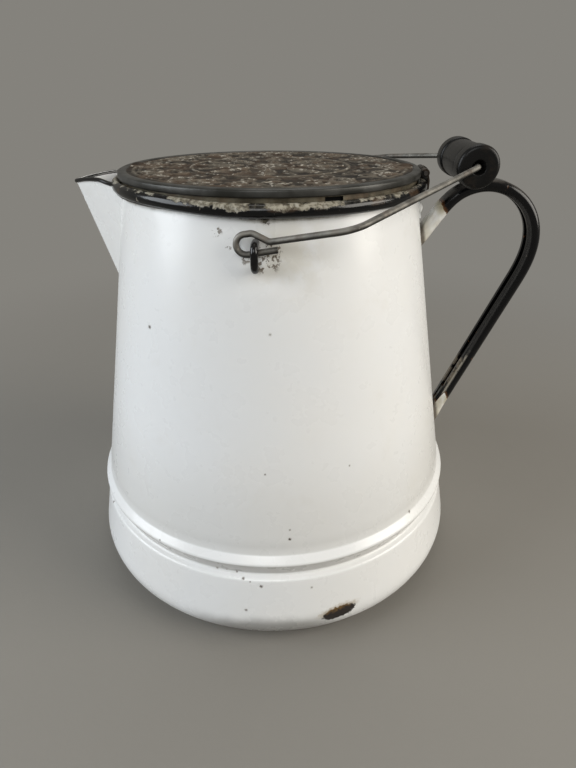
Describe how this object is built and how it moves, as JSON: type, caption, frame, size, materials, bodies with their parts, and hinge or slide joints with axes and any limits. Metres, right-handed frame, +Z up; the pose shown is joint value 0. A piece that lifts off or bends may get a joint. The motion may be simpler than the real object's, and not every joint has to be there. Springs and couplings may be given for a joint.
{
  "type": "hot water can",
  "caption": "Tapered enamelled hot water can with a V spout, a strap handle, a wire bail with a turned grip, and a hinged cast lid over the wired rim.",
  "frame": {"origin": "centre of the underside, on the table", "axes": "+Z up along the can's axis, +X from the axis towards the strap handle, -X towards the spout"},
  "size_m": [0.3292, 0.2912, 0.3079],
  "materials": {
    "enamel_white": "glossy vitreous enamel, chipped",
    "rim_steel": "worn dark enamel over rusted steel",
    "enamel_black": "glossy black enamel",
    "bare_steel": "dull grey drawn wire",
    "grip_wood": "turned wood, satin black",
    "cast_lid": "cast metal, tarnished"
  },
  "bodies": {
    "can": {"body_wall": "enamel_white", "rim_wire": "bare_steel", "bottom_pan": "enamel_white", "spout": "enamel_white", "handle_strap": "enamel_black", "handle_rivets": "bare_steel", "ear_front": "enamel_black", "ear_back": "enamel_black", "hinge_bracket": "enamel_black", "hinge_rivets": "bare_steel", "hinge_pin": "bare_steel"},
    "lid": {"lid_plate": "cast_lid", "lid_collar": "rim_steel", "lid_rivets": "bare_steel"},
    "bail": {"bail_wire": "bare_steel"},
    "grip": {"bail_grip": "grip_wood"}
  },
  "joints": [
    {"name": "lid_hinge", "type": "hinge", "parent": "can", "child": "lid", "pos_m": [0.1006, 0, 0.2892], "axis": [0, 1, 0], "range_deg": [0, 95]},
    {"name": "bail_swing", "type": "hinge", "parent": "can", "child": "bail", "pos_m": [0, 0, 0.2656], "axis": [0, -1, 0], "range_deg": [0, 150]},
    {"name": "grip_spin", "type": "hinge", "parent": "bail", "child": "grip", "pos_m": [0.12779, 0, 0.29523], "axis": [0, 1, 0], "continuous": true}
  ]
}
